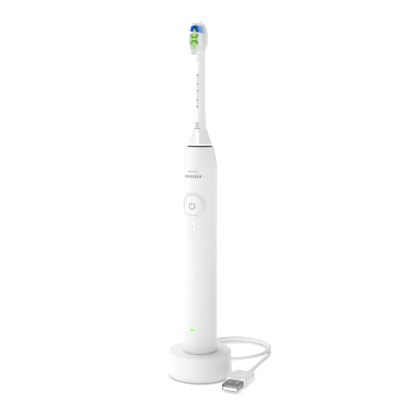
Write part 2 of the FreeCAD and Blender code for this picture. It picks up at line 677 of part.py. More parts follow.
def bristles():
    middle = [(1.9, 253.7), (-1.9, 253.7), (-3.05, 252.3), (-3.05, 247.5),
              (-1.9, 246.1), (1.9, 246.1), (3.05, 247.5), (3.05, 252.3)]
    node("green_tufts", group(
        "green_tufts",
        bristle_field("green_middle", middle, "tuft_tip"),
        bristle_field("green_point_high", [(-1.5, 254.9), (1.5, 254.9), (0, 257.5)], "tuft_tip - 0.3"),
        bristle_field("green_point_low", [(-1.25, 245.6), (0, 242.7), (1.25, 245.6)], "tuft_tip - 0.3"),
    ))
    roof = [(0.12, 258.1), (0.12, 259.6), (1.6, 259.6), (3.2, 255.7), (2.9, 254.9), (2, 254.9)]
    node("blue_tufts", group(
        "blue_tufts",
        bristle_field("blue_right", roof, "tuft_tip"),
        bristle_field("blue_left", roof, "tuft_tip", mirrored=True),
    ))
    flank = [(3.35, 247.1), (4.35, 247.1), (4.35, 252.5), (3.95, 254.6), (3.35, 254.6)]
    chin = [(0.12, 238.5), (1.4, 238.5), (2.4, 239.4), (3.1, 241.2), (3.65, 244.5), (4.25, 246.8),
            (3.25, 246.8), (2.1, 245.8), (1.6, 245.8), (0.12, 242.3)]
    crown = [(-2.2, 260), (2.2, 260), (1.9, 261.4), (1.2, 262), (-1.2, 262), (-1.9, 261.4)]
    node("white_tufts", group(
        "white_tufts",
        bristle_field("white_flank_right", flank, "tuft_tip"),
        bristle_field("white_flank_left", flank, "tuft_tip", mirrored=True),
        bristle_field("white_chin_right", chin, "tuft_tip"),
        bristle_field("white_chin_left", chin, "tuft_tip", mirrored=True),
        bristle_field("white_crown", crown, "tuft_tip"),
    ))


charging_puck()
usb_lead()
handle_casing()
handle_inside()
drive_unit()
brush_head()
doc.recompute()

faults = [thing.Name for thing in doc.Objects if {"Invalid", "Error"} & set(thing.State)]
faults += [thing.Label for thing in EVERY_NODE if thing.Shape.isNull() or not thing.Shape.isValid()]
if faults:
    raise RuntimeError(f"these objects failed: {sorted(set(faults))}")
for thing in EVERY_NODE:
    thing.Shape.exportStep(os.path.join("parts", thing.Label + ".step"))
    shape = thing.Shape
    print(f"{thing.Label}: {len(shape.Solids)} solid, {shape.Volume:.1f} mm3")
print(len(EVERY_NODE), "sub-parts")
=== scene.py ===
import json
import math
import random

import bpy
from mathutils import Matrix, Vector


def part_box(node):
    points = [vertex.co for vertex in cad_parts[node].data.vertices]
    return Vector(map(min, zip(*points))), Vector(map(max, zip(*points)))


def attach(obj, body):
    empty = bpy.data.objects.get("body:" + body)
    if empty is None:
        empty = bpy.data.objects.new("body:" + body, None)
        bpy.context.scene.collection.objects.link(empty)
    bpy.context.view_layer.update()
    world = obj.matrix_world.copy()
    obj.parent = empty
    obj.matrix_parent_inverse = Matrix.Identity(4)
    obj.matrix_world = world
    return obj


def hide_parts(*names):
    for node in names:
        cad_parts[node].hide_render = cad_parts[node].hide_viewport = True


# Electric toothbrush standing on its charging puck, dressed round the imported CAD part.
# Metres, in the CAD frame: +Z up the handle, the brush's front faces -Y.

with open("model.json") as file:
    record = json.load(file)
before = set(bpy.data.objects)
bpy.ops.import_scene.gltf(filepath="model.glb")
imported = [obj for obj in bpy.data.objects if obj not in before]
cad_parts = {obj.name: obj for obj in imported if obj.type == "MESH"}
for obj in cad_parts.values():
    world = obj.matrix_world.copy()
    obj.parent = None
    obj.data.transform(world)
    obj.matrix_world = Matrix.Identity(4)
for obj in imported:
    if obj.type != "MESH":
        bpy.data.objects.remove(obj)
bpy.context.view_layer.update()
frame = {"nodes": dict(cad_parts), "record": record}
MM = 0.001


# ---------------------------------------------------------------- camera
VIEW_AZIMUTH = math.radians(26)
VIEW_PITCH = math.radians(6.48)
CAMERA_DISTANCE = 0.5581
CAMERA_HEIGHT = 0.1966
CAMERA_LENS = 67.86
AIM_SHIFT = 0.0003


def studio(across, away, up):
    """A point given as seen from the camera: to the right, away from it past the brush, and up."""
    c, s = math.cos(VIEW_AZIMUTH), math.sin(VIEW_AZIMUTH)
    return Vector((across * c - away * s, across * s + away * c, up))


def make_camera():
    data = bpy.data.cameras.new("camera")
    data.lens = CAMERA_LENS
    data.sensor_width = 36.0
    data.shift_x = AIM_SHIFT
    data.clip_end = 50.0
    camera = bpy.data.objects.new("camera", data)
    bpy.context.scene.collection.objects.link(camera)
    camera.location = studio(0, -CAMERA_DISTANCE, CAMERA_HEIGHT)
    looking = studio(0, math.cos(VIEW_PITCH), -math.sin(VIEW_PITCH))
    camera.rotation_mode = "QUATERNION"
    camera.rotation_quaternion = looking.to_track_quat("-Z", "Y")
    bpy.context.scene.camera = camera


make_camera()


# ---------------------------------------------------------------- materials
def shader(name, colour, roughness, **sockets):
    """A Principled material; sockets are set by their names, with _ for a space."""
    material = bpy.data.materials.new(name)
    material.use_nodes = True
    principled = material.node_tree.nodes["Principled BSDF"]
    principled.inputs["Base Color"].default_value = (*colour, 1)
    principled.inputs["Roughness"].default_value = roughness
    for key, value in sockets.items():
        principled.inputs[key.replace("_", " ")].default_value = value
    return material, principled


def add_node(material, kind, **values):
    """A shader node; values name its inputs (with _ for a space) or its own properties."""
    made = material.node_tree.nodes.new(kind)
    for key, value in values.items():
        label = key.replace("_", " ")
        if label in made.inputs:
            made.inputs[label].default_value = value
        else:
            setattr(made, key, value)
    return made


def link(material, source, target):
    material.node_tree.links.new(source, target)


def noise(material, scale, detail, stretch=None):
    """Noise at that many features per metre, stretched along some axes if asked."""
    place = add_node(material, "ShaderNodeTexCoord")
    made = add_node(material, "ShaderNodeTexNoise", Scale=scale, Detail=detail)
    if stretch is None:
        link(material, place.outputs["Object"], made.inputs["Vector"])
        return made
    squeeze = add_node(material, "ShaderNodeMapping")
    squeeze.inputs["Scale"].default_value = stretch
    link(material, place.outputs["Object"], squeeze.inputs["Vector"])
    link(material, squeeze.outputs["Vector"], made.inputs["Vector"])
    return made


def tint(material, principled, source, low, high, start=0.35, end=0.65):
    """The base colour runs from low to high as the source does from start to end."""
    ramp = add_node(material, "ShaderNodeValToRGB")
    ramp.color_ramp.elements[0].position = start
    ramp.color_ramp.elements[1].position = end
    ramp.color_ramp.elements[0].color = (*low, 1)
    ramp.color_ramp.elements[1].color = (*high, 1)
    link(material, source, ramp.inputs["Fac"])
    link(material, ramp.outputs["Color"], principled.inputs["Base Color"])


def vary_roughness(material, principled, source, low, high):
    """The roughness runs from low to high as the source goes from 0 to 1."""
    spread = add_node(material, "ShaderNodeMapRange")
    spread.inputs["To Min"].default_value = low
    spread.inputs["To Max"].default_value = high
    link(material, source, spread.inputs["Value"])
    link(material, spread.outputs["Result"], principled.inputs["Roughness"])


def emboss(material, principled, source, depth):
    """Bump of that depth in metres."""
    bump = add_node(material, "ShaderNodeBump", Distance=depth, Strength=1.0)
    link(material, source, bump.inputs["Height"])
    link(material, bump.outputs["Normal"], principled.inputs["Normal"])


def shaded(colour, share):
    return tuple(channel * share for channel in colour)


def moulded_plastic(name, colour, roughness, grain=2600.0, depth=0.004 * MM, **sockets):
    """Injection-moulded plastic: a fine spark grain, slow drift in colour and in gloss."""
    material, principled = shader(name, colour, roughness, **sockets)
    drift = noise(material, 28.0, 2.0)
    tint(material, principled, drift.outputs["Fac"], shaded(colour, 0.985), colour)
    fine = noise(material, grain, 2.0)
    vary_roughness(material, principled, fine.outputs["Fac"], roughness * 0.88, roughness * 1.12)
    emboss(material, principled, fine.outputs["Fac"], depth)
    return material


def soft_rubber(name, colour, roughness=0.6, specular=0.35, sheen=0.15):
    """Matt rubber with a fine, uneven skin."""
    material, principled = shader(name, colour, roughness, Specular_IOR_Level=specular, Sheen_Weight=sheen)
    fine = noise(material, 3800.0, 4.0)
    tint(material, principled, fine.outputs["Fac"], shaded(colour, 0.8), shaded(colour, 1.15), 0.3, 0.7)
    vary_roughness(material, principled, fine.outputs["Fac"], roughness * 0.9, roughness * 1.1)
    emboss(material, principled, fine.outputs["Fac"], 0.01 * MM)
    return material


def worked_metal(name, colour, roughness, stretch, **sockets):
    """Metal with fine draw or turning lines, long where stretch is small."""
    material, principled = shader(name, colour, roughness, Metallic=1.0, Anisotropic=0.4, **sockets)
    lines = noise(material, 900.0, 3.0, stretch)
    tint(material, principled, lines.outputs["Fac"], shaded(colour, 0.9), shaded(colour, 1.05), 0.3, 0.7)
    vary_roughness(material, principled, lines.outputs["Fac"], roughness * 0.75, roughness * 1.3)
    emboss(material, principled, lines.outputs["Fac"], 0.004 * MM)
    return material


def wound_wire(name, colour):
    """Enamelled wire wound round Z: fine rings up the coil."""
    material, principled = shader(name, colour, 0.3, Metallic=1.0, Coat_Weight=0.4)
    place = add_node(material, "ShaderNodeTexCoord")
    turns = add_node(material, "ShaderNodeTexWave", Scale=900.0, bands_direction="Z")
    link(material, place.outputs["Object"], turns.inputs["Vector"])
    tint(material, principled, turns.outputs["Fac"], shaded(colour, 0.4), colour, 0.1, 0.8)
    emboss(material, principled, turns.outputs["Fac"], 0.08 * MM)
    return material


def circuit_board(name, colour):
    """A lacquered board with a grid of tracks."""
    material, principled = shader(name, colour, 0.35, Coat_Weight=0.3)
    place = add_node(material, "ShaderNodeTexCoord")
    tracks = add_node(material, "ShaderNodeTexBrick", Scale=260.0, Mortar_Size=0.04)
    tracks.inputs["Color1"].default_value = (*colour, 1)
    tracks.inputs["Color2"].default_value = (*shaded(colour, 0.8), 1)
    tracks.inputs["Mortar"].default_value = (*shaded(colour, 2.2), 1)
    link(material, place.outputs["Object"], tracks.inputs["Vector"])
    link(material, tracks.outputs["Color"], principled.inputs["Base Color"])
    emboss(material, principled, tracks.outputs["Fac"], 0.03 * MM)
    return material


def nylon(name, root, tip, near, far, **sockets):
    """Bristle filaments: coloured along their length, from near the plate to the tips. A root darker than
    its tip is painted shade deep in the tuft.
    """
    material, principled = shader(name, tip, 0.34, Subsurface_Weight=0.25, Subsurface_Scale=0.4 * MM,
                                  **sockets)
    principled.inputs["Subsurface Radius"].default_value = (1.0, 1.0, 1.0)
    place = add_node(material, "ShaderNodeTexCoord")
    split = add_node(material, "ShaderNodeSeparateXYZ")
    link(material, place.outputs["Object"], split.inputs["Vector"])
    along = add_node(material, "ShaderNodeMapRange")
    along.inputs["From Min"].default_value = near
    along.inputs["From Max"].default_value = far
    link(material, split.outputs["Y"], along.inputs["Value"])
    tint(material, principled, along.outputs["Result"], root, tip, 0.0, 1.0)
    strands = noise(material, 1500.0, 2.0, (1.0, 0.05, 1.0))
    vary_roughness(material, principled, strands.outputs["Fac"], 0.28, 0.42)
    return material


PLATE_FACE_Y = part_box("white_tufts")[1].y
TUFT_TIP_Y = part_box("white_tufts")[0].y
WHITE = (0.86, 0.86, 0.865)

MATERIALS = {
    "puck_white": moulded_plastic("puck_white", (0.85, 0.85, 0.855), 0.42, Specular_IOR_Level=0.2),
    "base_grey": moulded_plastic("base_grey", (0.62, 0.62, 0.63), 0.55, 1400.0, 0.012 * MM),
    "foot_rubber": soft_rubber("foot_rubber", (0.30, 0.30, 0.31)),
    "bobbin_plastic": moulded_plastic("bobbin_plastic", (0.72, 0.68, 0.56), 0.45),
    "copper_wire": wound_wire("copper_wire", (0.72, 0.34, 0.14)),
    "ferrite": moulded_plastic("ferrite", (0.05, 0.05, 0.055), 0.7, 900.0, 0.02 * MM),
    "board_green": circuit_board("board_green", (0.02, 0.16, 0.07)),
    "component_black": moulded_plastic("component_black", (0.03, 0.03, 0.033), 0.5),
    "cord_white": moulded_plastic("cord_white", (0.79, 0.79, 0.79), 0.48, 1800.0, 0.008 * MM),
    "plug_white": moulded_plastic("plug_white", WHITE, 0.42, 2000.0, 0.006 * MM),
    "plug_steel": worked_metal("plug_steel", (0.27, 0.27, 0.275), 0.17, (1.0, 0.04, 1.0)),
    # The tongue and the contacts glow a little: a painted glow that lights the shaded mouth of the plug.
    "tongue_white": moulded_plastic("tongue_white", (0.85, 0.85, 0.85), 0.4, Emission_Color=(1, 1, 1, 1),
                                    Emission_Strength=0.22),
    "contact_gold": worked_metal("contact_gold", (0.86, 0.82, 0.70), 0.25, (1.0, 0.1, 1.0),
                                 Emission_Color=(0.9, 0.88, 0.80, 1), Emission_Strength=0.3),
    "handle_white": moulded_plastic("handle_white", WHITE, 0.34, Specular_IOR_Level=0.3),
    "cap_white": moulded_plastic("cap_white", shaded(WHITE, 0.96), 0.45),
    # Near black: partly the real black seal round the shaft, partly painted shade for the dark gap under the
    # brush head.
    "seal_black": soft_rubber("seal_black", (0.004, 0.004, 0.004), 0.35, 0.15, 0.0),
    "frame_grey": moulded_plastic("frame_grey", (0.42, 0.43, 0.45), 0.5),
    "cell_wrap": moulded_plastic("cell_wrap", (0.06, 0.22, 0.16), 0.3),
    "bare_steel": worked_metal("bare_steel", (0.56, 0.57, 0.59), 0.22, (1.0, 1.0, 0.08)),
    "led_lens": moulded_plastic("led_lens", (0.62, 0.75, 0.5), 0.15),
    "window_white": moulded_plastic("window_white", WHITE, 0.3),
    "lamp_green": moulded_plastic("lamp_green", (0.20, 0.75, 0.04), 0.3, Emission_Color=(0.20, 1.0, 0.03, 1),
                                  Emission_Strength=0.45),
    "bearing_bronze": worked_metal("bearing_bronze", (0.5, 0.3, 0.14), 0.4, (1.0, 1.0, 0.1)),
    "magnet": worked_metal("magnet", (0.62, 0.62, 0.64), 0.15, (1.0, 1.0, 1.0)),
    "button_white": moulded_plastic("button_white", WHITE, 0.36),
    "neck_white": moulded_plastic("neck_white", (0.85, 0.85, 0.86), 0.12, 3200.0, 0.001 * MM,
                                  Specular_IOR_Level=0.9),
    # The white, green and blue bristles glow a little: a painted glow for light let through the nylon. The
    # darker white and green roots are painted shade deep in the tufts.
    "bristle_white": nylon("bristle_white", (0.72, 0.73, 0.72), (0.93, 0.93, 0.93), PLATE_FACE_Y, TUFT_TIP_Y,
                           Emission_Color=(1, 1, 1, 1), Emission_Strength=0.05),
    "bristle_green": nylon("bristle_green", (0.10, 0.34, 0.01), (0.62, 0.95, 0.38), PLATE_FACE_Y, TUFT_TIP_Y,
                           Emission_Color=(0.4, 0.8, 0.2, 1), Emission_Strength=0.08),
    "bristle_blue": nylon("bristle_blue", (0.22, 0.52, 0.96), (0.0, 0.25, 0.86), PLATE_FACE_Y, TUFT_TIP_Y,
                          Emission_Color=(0.05, 0.35, 1.0, 1), Emission_Strength=0.06),
}
# Finishes that a few pieces wear in place of the one their slot has.
# The ring at the foot of the brush head glows a little: a painted highlight line along its edge.
RIM_HIGHLIGHT_WHITE = moulded_plastic("rim_painted_highlight", (0.93, 0.93, 0.93), 0.25, Emission_Color=(1, 1, 1, 1),
                            Emission_Strength=0.2)
# A darker copy of the handle's white for the skirt round the button: painted shade on its slope.
BEZEL_SHADED_WHITE = moulded_plastic("bezel_painted_shade", (0.82, 0.82, 0.825), 0.4)
# The plug's collar glows: a painted highlight along the lip of the moulding.
COLLAR_HIGHLIGHT_WHITE = moulded_plastic("collar_painted_highlight", (0.93, 0.93, 0.93), 0.3, Emission_Color=(1, 1, 1, 1),
                               Emission_Strength=0.32)
LEAF_STEEL = worked_metal("leaf_steel", (0.82, 0.82, 0.83), 0.35, (1.0, 0.04, 1.0))
# Dark green for the low tufts in the grooves of the field: painted shade down in the grooves.
SHADED_GREEN = nylon("painted_shade_green", (0.03, 0.12, 0.0), (0.17, 0.5, 0.03), PLATE_FACE_Y, TUFT_TIP_Y)
# The pale green of the centre tuft glows a little: a painted glow.
GLOWING_PALE_GREEN = nylon("pale_green_painted_glow", (0.4, 0.7, 0.2), (0.80, 0.96, 0.62), PLATE_FACE_Y, TUFT_TIP_Y,
                   Emission_Color=(0.8, 1.0, 0.6, 1), Emission_Strength=0.2)
# Dark blue for the inner rafter tufts of the blue roof: painted shade along its inner edges.
SHADED_BLUE = nylon("painted_shade_blue", (0.0, 0.08, 0.4), (0.0, 0.10, 0.50), PLATE_FACE_Y, TUFT_TIP_Y)
PRINT_GREY = moulded_plastic("print_grey", (0.16, 0.16, 0.165), 0.5)
PRINT_DARK = moulded_plastic("print_dark", (0.26, 0.26, 0.265), 0.5)
PRINT_PALE = moulded_plastic("print_pale", (0.40, 0.40, 0.41), 0.5)
PRINT_FAINT = moulded_plastic("print_faint", (0.62, 0.62, 0.63), 0.5)

for part in frame["record"]["subparts"]:
    cad_object = frame["nodes"][part["node"]]
    cad_object.data.materials.clear()
    cad_object.data.materials.append(MATERIALS[part["material_slot"]])
# The head's foot ring wears the white that glows as a painted highlight.
frame["nodes"]["neck_base_ring"].data.materials[0] = RIM_HIGHLIGHT_WHITE


# ---------------------------------------------------------------- mesh helpers
def add_mesh(name, points, faces, body, slot, material=None, smooth_angle=math.radians(40)):
    """A piece that rides on a body. Points are in metres; slot names a finish of the record, which it wears
    unless a material is given.
    """
    mesh = bpy.data.meshes.new(name)
    mesh.from_pydata([tuple(point) for point in points], [], faces)
    mesh.validate()
    mesh.update()
    piece = bpy.data.objects.new(name, mesh)
    bpy.context.scene.collection.objects.link(piece)
    mesh.materials.append(material or MATERIALS[slot])
    mesh.shade_smooth()
    mesh.set_sharp_from_angle(angle=smooth_angle)
    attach(piece, body)
    return piece


def joined_rings(rings, close_start=False, close_end=False):
    """Points and faces of a skin over closed rings that all have the same number of points."""
    count = len(rings[0])
    points = [point for ring in rings for point in ring]
    faces = []
    for row in range(len(rings) - 1):
        for column in range(count):
            after = (column + 1) % count
            low, high = row * count, (row + 1) * count
            faces.append((low + column, low + after, high + after, high + column))
    if close_start:
        faces.append(tuple(reversed(range(count))))
    if close_end:
        last = (len(rings) - 1) * count
        faces.append(tuple(range(last, last + count)))
    return points, faces


# ---------------------------------------------------------------- lead and plug
# The same route as the CAD tube: right of the lead's heading, along it, and up, in millimetres.
ROUTE = [
    (0.0, 33.0, 5.6), (0.0, 44.0, 5.6), (6.0, 61.5, 5.5), (21.0, 74.0, 5.35), (41.0, 74.0, 5.35),
    (54.5, 61.5, 5.35), (59.0, 46.0, 5.6), (50.0, 32.0, 3.8), (31.0, 27.8, 1.65), (12.0, 32.0, 1.65),
    (3.5, 46.5, 1.65), (6.5, 62.5, 1.65), (20.8, 73.7, 1.65), (41.2, 73.8, 1.65), (54.6, 61.3, 1.65),
    (58.6, 43.0, 1.65), (50.2, 25.6, 1.65), (42.4, 6.5, 2.0), (38.1, -8.1, 4.1), (34.1, -16.3, 4.1),
]
CORD_HEADING = math.radians(26)
CORD_DIAMETER = 3.3 * MM

# The plug points along -Y. Its middle line, the front of its moulding and the mouth and half
# section of its metal shell, in millimetres.
PLUG_ACROSS = 37.79
PLUG_HEIGHT = 4.1
PLUG_FRONT = -17.71
MOUTH = -29.61
SHELL_HALF_WIDTH, SHELL_HALF_HEIGHT, SHELL_CORNER = 6.0, 2.25, 0.6


def make_collar():
    """The raised lip of the moulding round the root of the metal shell, in a white that glows as a painted
    highlight.
    """
    # How far each ring stands out from the shell, and how far it lies behind the moulding's front.
    profile = [(0.05, 0.3), (0.05, -0.12), (0.25, -0.26), (0.7, -0.26), (0.95, -0.12), (1.0, 0.3),
               (0.05, 0.3)]
    corner_steps = 8
    rings = []
    for out, behind in profile:
        half_width, half_height, corner = SHELL_HALF_WIDTH + out, SHELL_HALF_HEIGHT + out, SHELL_CORNER + out
        ring = []
        for across, up, first in ((1, 1, 0), (-1, 1, 90), (-1, -1, 180), (1, -1, 270)):
            for k in range(corner_steps + 1):
                angle = math.radians(first + 90 * k / corner_steps)
                x = PLUG_ACROSS + across * (half_width - corner) + corner * math.cos(angle)
                z = PLUG_HEIGHT + up * (half_height - corner) + corner * math.sin(angle)
                ring.append((x * MM, (PLUG_FRONT + behind) * MM, z * MM))
        rings.append(ring)
    points, faces = joined_rings(rings)
    return add_mesh("plug_collar", points, faces, "charger", "plug_white", COLLAR_HIGHLIGHT_WHITE)


def make_leaf(name, offset):
    """A bowed spring leaf showing in one of the shell's windows, that far to the side of the middle."""
    window_start, window_length = 5.2, 2.7
    end_rise, bow = 1.72, 0.32
    section = ((-1.1, 0.0), (-0.5, 0.05), (0.5, 0.05), (1.1, 0.0), (1.1, -0.15), (-1.1, -0.15))
    steps = 8
    side = PLUG_ACROSS + offset
    rings = []
    for k in range(steps + 1):
        share = k / steps
        up = PLUG_HEIGHT + end_rise + bow * math.sin(math.pi * share)
        back = MOUTH + window_start + window_length * share
        rings.append([((side + across) * MM, back * MM, (up + rise) * MM) for across, rise in section])
    points, faces = joined_rings(rings, True, True)
    return add_mesh(name, points, faces, "charger", "plug_steel", LEAF_STEEL)


def make_cord():
    """The lead as a round curve, and the plug's collar and spring leaves."""
    curve = bpy.data.curves.new("lead", "CURVE")
    curve.dimensions = "3D"
    spline = curve.splines.new("NURBS")
    spline.points.add(len(ROUTE) - 1)
    c, s = math.cos(CORD_HEADING), math.sin(CORD_HEADING)
    for point, (right, ahead, up) in zip(spline.points, ROUTE):
        point.co = ((right * c - ahead * s) * MM, (right * s + ahead * c) * MM, up * MM, 1)
    spline.order_u = 3
    spline.use_endpoint_u = True
    spline.resolution_u = 14
    curve.bevel_depth = CORD_DIAMETER / 2
    curve.bevel_resolution = 6
    curve.use_fill_caps = True
    lead = bpy.data.objects.new("lead", curve)
    bpy.context.scene.collection.objects.link(lead)
    curve.materials.append(MATERIALS["cord_white"])
    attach(lead, "charger")
    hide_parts("power_cord")
    leaf_offset = 2.9
    trim = [make_collar(), make_leaf("plug_leaf_left", -leaf_offset),
            make_leaf("plug_leaf_right", leaf_offset)]


make_cord()


def soften_edges(node, width):
    """A fine rounding on the sharp edges of a carried-over part."""
    bevel = frame["nodes"][node].modifiers.new("soft_edges", "BEVEL")
    bevel.width = width
    bevel.segments = 2
    bevel.limit_method = "ANGLE"
    bevel.angle_limit = math.radians(50)


soften_edges("usb_shell", 0.12 * MM)
soften_edges("usb_overmould", 0.25 * MM)


# ---------------------------------------------------------------- handle surface
HOUSING_LOW, HOUSING_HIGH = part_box("handle_housing")
RADIUS_LOW = HOUSING_HIGH.x
RADIUS_HIGH = 12.97 * MM
SHOULDER_START = 153.5 * MM


def handle_radius(height):
    """The housing's radius, which tapers evenly up to the shoulder."""
    share = (height - HOUSING_LOW.z) / (SHOULDER_START - HOUSING_LOW.z)
    return RADIUS_LOW + (RADIUS_HIGH - RADIUS_LOW) * min(share, 1.0)


def on_handle(across, height, proud):
    """The point on the front of the handle at that place, standing proud of its surface."""
    radius = handle_radius(height)
    return (across, -math.sqrt(radius * radius - across * across) - proud, height)


# ---------------------------------------------------------------- power button
BUTTON_LOW, BUTTON_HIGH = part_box("power_button")
BUTTON_HEIGHT = (BUTTON_LOW.z + BUTTON_HIGH.z) / 2
BUTTON_RADIUS = (BUTTON_HIGH.x - BUTTON_LOW.x) / 2
BEZEL_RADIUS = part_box("button_bezel")[1].x
CAP_PROUD = 0.42 * MM
AROUND = 96


def front_rings(profile, height):
    """Rings on the handle's front about a point at that height, from (radius, proud) pairs."""
    rings = []
    for radius, proud in profile:
        rings.append([on_handle(radius * math.cos(angle), height + radius * math.sin(angle), proud)
                      for angle in (2 * math.pi * k / AROUND for k in range(AROUND))])
    return rings


def make_button():
    """The cap: across its face, round its edge and back inside the housing."""
    steps = [(0.02 * MM, CAP_PROUD)]
    steps += [(BUTTON_RADIUS * share, CAP_PROUD) for share in (0.2, 0.4, 0.6, 0.8, 0.92)]
    steps += [(BUTTON_RADIUS - 0.22 * MM, CAP_PROUD), (BUTTON_RADIUS - 0.1 * MM, CAP_PROUD - 0.03 * MM),
              (BUTTON_RADIUS - 0.03 * MM, CAP_PROUD - 0.1 * MM), (BUTTON_RADIUS, CAP_PROUD - 0.22 * MM),
              (BUTTON_RADIUS, -1.35 * MM), (BUTTON_RADIUS - 0.8 * MM, -1.4 * MM), (1.8 * MM, -1.4 * MM)]
    points, faces = joined_rings(front_rings(steps, BUTTON_HEIGHT), True, True)
    cap = add_mesh("button_cap", points, faces, "button", "button_white")
    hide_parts("power_button")


def make_bezel():
    """The raised rim round the cap, sloping down to the housing, in a darker white that is painted shade on
    the slope.
    """
    inner = BUTTON_RADIUS + 0.15 * MM
    crest = 0.66 * MM
    depth = -1.0 * MM
    steps = [(inner, depth), (inner, crest - 0.12 * MM), (inner + 0.05 * MM, crest - 0.03 * MM),
             (inner + 0.14 * MM, crest), (inner + 0.3 * MM, crest - 0.03 * MM)]
    slope_steps = 6
    slope_power = 0.7
    for step in range(1, slope_steps + 1):
        share = step / slope_steps
        radius = inner + 0.3 * MM + (BEZEL_RADIUS - inner - 0.3 * MM) * share
        steps.append((radius, (crest - 0.03 * MM) * (1 - share) ** slope_power))
    steps += [(BEZEL_RADIUS, -0.5 * MM), (inner, depth)]
    points, faces = joined_rings(front_rings(steps, BUTTON_HEIGHT))
    bezel = add_mesh("button_skirt", points, faces, "handle", "handle_white", BEZEL_SHADED_WHITE)
    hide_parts("button_bezel")


PRINT_THICKNESS = 0.03 * MM
PRINT_PROUD = 0.02 * MM


def stroke(path, width, proud, surface):
    """Points and faces of a thin printed line along (across, height) points on a curved surface."""
    shares = (-1.0, -0.5, 0.0, 0.5, 1.0)
    last = len(path) - 1
    rings = []
    for index, (across, height) in enumerate(path):
        before, after = path[max(index - 1, 0)], path[min(index + 1, last)]
        run = Vector((after[0] - before[0], after[1] - before[1])).normalized()
        side = Vector((-run.y, run.x)) * width / 2
        top = [surface(across + share * side.x, height + share * side.y, proud) for share in shares]
        under = [surface(across + share * side.x, height + share * side.y, proud - PRINT_THICKNESS)
                 for share in reversed(shares)]
        rings.append(top + under)
    return joined_rings(rings, True, True)


def arc(centre_across, centre_height, radius, start, end, count=28):
    """Points of an arc; angles in degrees from the right, anticlockwise as seen from the front."""
    return [(centre_across + radius * math.cos(math.radians(start + (end - start) * k / count)),
             centre_height + radius * math.sin(math.radians(start + (end - start) * k / count)))
            for k in range(count + 1)]


def line(start, end, count=6):
    """Points of a straight stroke, close enough together to follow a curved surface."""
    return [(start[0] + (end[0] - start[0]) * k / count, start[1] + (end[1] - start[1]) * k / count)
            for k in range(count + 1)]


def printed(name, strokes, body, slot, material, surface, proud=PRINT_PROUD):
    """One printed mark made of strokes: (path, width) pairs."""
    points = []
    faces = []
    for path, width in strokes:
        more_points, more_faces = stroke(path, width, proud, surface)
        faces += [tuple(index + len(points) for index in face) for face in more_faces]
        points += more_points
    return add_mesh(name, points, faces, body, slot, material)


def make_power_mark():
    """The usual open ring and upright bar."""
    ring_radius = 2.35 * MM
    width = 0.5 * MM
    strokes = [
        (arc(0, BUTTON_HEIGHT - 0.3 * MM, ring_radius, 122, 418, 44), width),
        (line((0, BUTTON_HEIGHT - 0.1 * MM), (0, BUTTON_HEIGHT + 2.5 * MM)), width),
    ]
    printed("power_mark", strokes, "button", "button_white", PRINT_GREY, on_handle, CAP_PROUD + PRINT_PROUD)


make_button()
make_bezel()
make_power_mark()


# ---------------------------------------------------------------- windows
def pill_ring(half_width, half_length, inset, proud, height):
    """A stadium outline on the handle's front, drawn in by the inset."""
    radius = half_width - inset
    straight = half_length - half_width
    ring = []
    quarter = 10
    for centre, first in ((straight, 0), (-straight, 180)):
        for k in range(2 * quarter + 1):
            angle = math.radians(first + 90 * k / quarter)
            up = height + centre + radius * math.sin(angle)
            ring.append(on_handle(radius * math.cos(angle), up, proud))
    return ring


def make_mode_window():
    """The sunk lens in its housing slot, with two pale dashes on it."""
    low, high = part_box("mode_window")
    height = (low.z + high.z) / 2
    half_width = (high.x - low.x) / 2
    half_length = (high.z - low.z) / 2
    # How far in from the edge, and how proud of the housing, in millimetres.
    steps = [(0.0, -1.3), (0.0, -0.02), (0.06, 0.02), (0.16, 0.02), (0.28, -0.05), (0.62, -0.27),
             (0.78, -0.3), (1.2, -0.3), (1.6, -0.29), (2.0, -0.285), (half_width / MM - 0.02, -0.28)]
    rings = [pill_ring(half_width, half_length, inset * MM, proud * MM, height) for inset, proud in steps]
    points, faces = joined_rings(rings, True, True)
    window = add_mesh("mode_lens", points, faces, "handle", "window_white")
    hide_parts("mode_window")
    offset, half_dash, dash_width = 1.9 * MM, 1.0 * MM, 0.5 * MM
    mark_level = -0.26 * MM
    strokes = []
    for way in (-1, 1):
        middle = height + way * offset
        strokes.append((line((0, middle - half_dash), (0, middle + half_dash), 4), dash_width))
    printed("mode_marks", strokes, "handle", "window_white", PRINT_FAINT, on_handle, mark_level)


make_mode_window()


# ---------------------------------------------------------------- generic marks on handle and neck
def make_handle_marks():
    """Two rows of plain dots and dashes where a printed name would be."""
    # Name, height, half the row's span, number of marks, their length and thickness, and finish.
    rows = (("handle_dots", 155.3, 3.6, 7, 0.6, 1.1, PRINT_PALE),
            ("handle_dashes", 151.7, 6.0, 8, 1.0, 1.9, PRINT_DARK))
    for name, height, half_span, count, length, thickness, print_and_shade in rows:
        marks = []
        for index in range(count):
            middle = half_span * (2 * index / (count - 1) - 1)
            ends = [((middle + way * length / 2) * MM, height * MM) for way in (-1, 1)]
            marks.append((line(ends[0], ends[1], 3), thickness * MM))
        printed(name, marks, "handle", "handle_white", print_and_shade, on_handle)


make_handle_marks()


